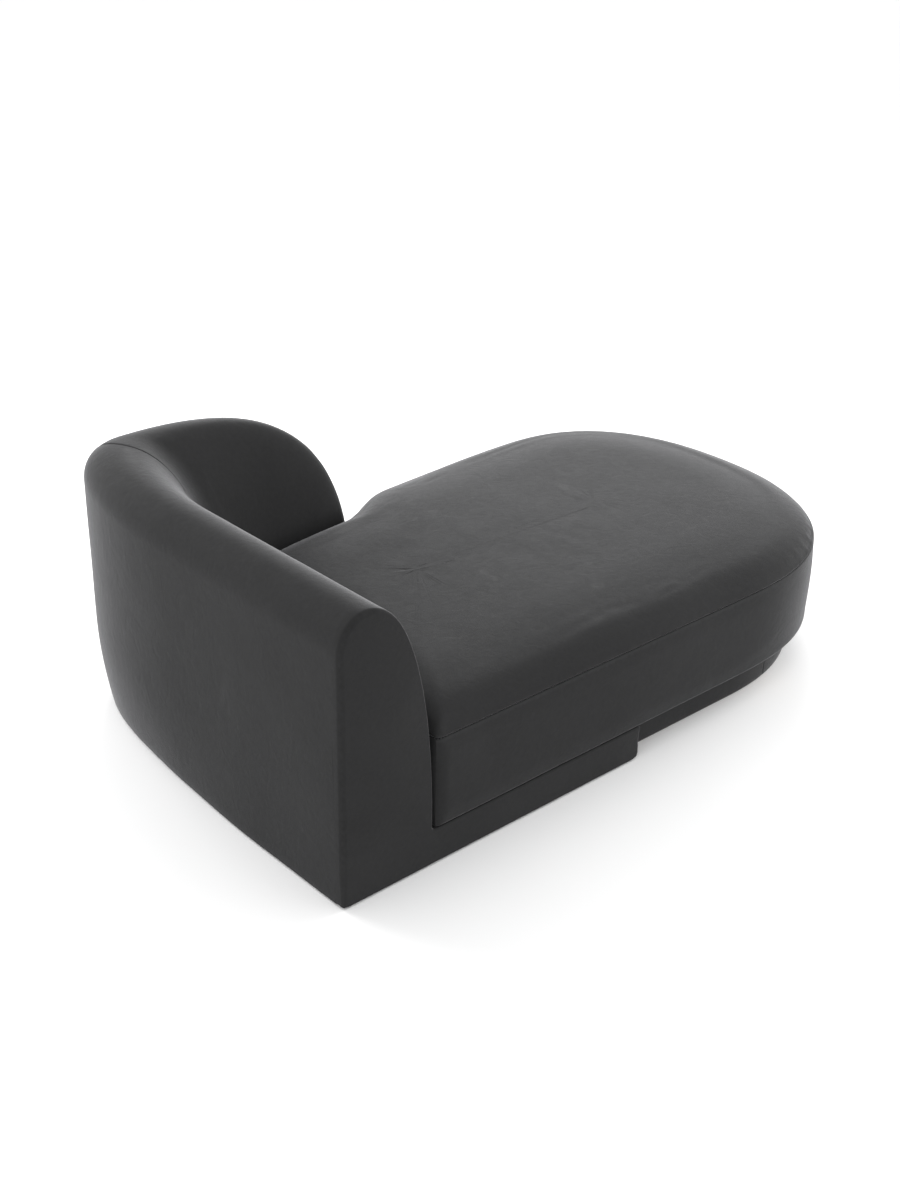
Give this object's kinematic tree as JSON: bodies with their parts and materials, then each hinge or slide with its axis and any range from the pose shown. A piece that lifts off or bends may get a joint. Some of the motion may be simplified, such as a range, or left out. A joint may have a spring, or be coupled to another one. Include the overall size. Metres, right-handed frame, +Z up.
{
  "type": "daybed",
  "caption": "Low fully upholstered velvet daybed with a long egg-shaped crowned seat, a low back that curves round one corner into a short arm, a flat joining side and a recessed plinth.",
  "frame": {"origin": "middle of the overall footprint, on the floor under the glides", "axes": "+Z up, +X from the back towards the rounded foot, -Y out of the flat joining side, +Y towards the arm"},
  "size_m": [1.965, 1.1999, 0.722],
  "materials": {
    "velvet": "charcoal cut-pile velvet",
    "plywood": "unfinished plywood",
    "timber": "planed softwood",
    "foam": "cream upholstery foam",
    "wadding": "white polyester wadding",
    "black_cloth": "black woven dust cloth and webbing",
    "plastic": "black nylon glides"
  },
  "bodies": {
    "root": {"arm_nose_foam": "foam", "arm_rib_front": "plywood", "arm_rib_rear": "plywood", "back_rib_far": "plywood", "back_rib_middle": "plywood", "back_rib_near": "plywood", "base_board_arm": "plywood", "base_board_back": "plywood", "base_rail_front": "timber", "base_rail_middle": "timber", "base_rail_near": "timber", "corner_rib": "plywood", "crest_strip": "plywood", "dust_cover_base": "black_cloth", "dust_cover_plinth": "black_cloth", "glide_arm": "plastic", "glide_back_far": "plastic", "glide_back_near": "plastic", "glide_foot": "plastic", "glide_plinth_far": "plastic", "glide_plinth_near": "plastic", "glide_rail_near": "plastic", "inner_cover": "velvet", "inner_foam": "foam", "inner_skin": "plywood", "outer_cover": "velvet", "outer_skin": "plywood", "outer_wadding": "wadding", "plinth_board_far": "plywood", "plinth_board_near": "plywood", "plinth_board_nose": "plywood", "plinth_cover": "velvet", "plinth_cross_front": "timber", "plinth_cross_rear": "timber", "rail_end_cover": "velvet", "seat_board": "plywood", "seat_boxing": "velvet", "seat_foam_core": "foam", "seat_foam_topper": "wadding", "seat_rail_arm": "plywood", "seat_rail_back": "timber", "seat_rail_far": "timber", "seat_rail_near": "timber", "seat_rail_nose": "plywood", "seat_top_cover": "velvet", "side_panel_board": "plywood", "side_panel_cover": "velvet", "side_panel_pad": "wadding", "web_cross_1": "black_cloth", "web_cross_2": "black_cloth", "web_cross_3": "black_cloth", "web_cross_4": "black_cloth", "web_cross_5": "black_cloth", "web_cross_6": "black_cloth", "web_cross_7": "black_cloth", "web_long_far": "black_cloth", "web_long_near": "black_cloth"}
  },
  "joints": []
}
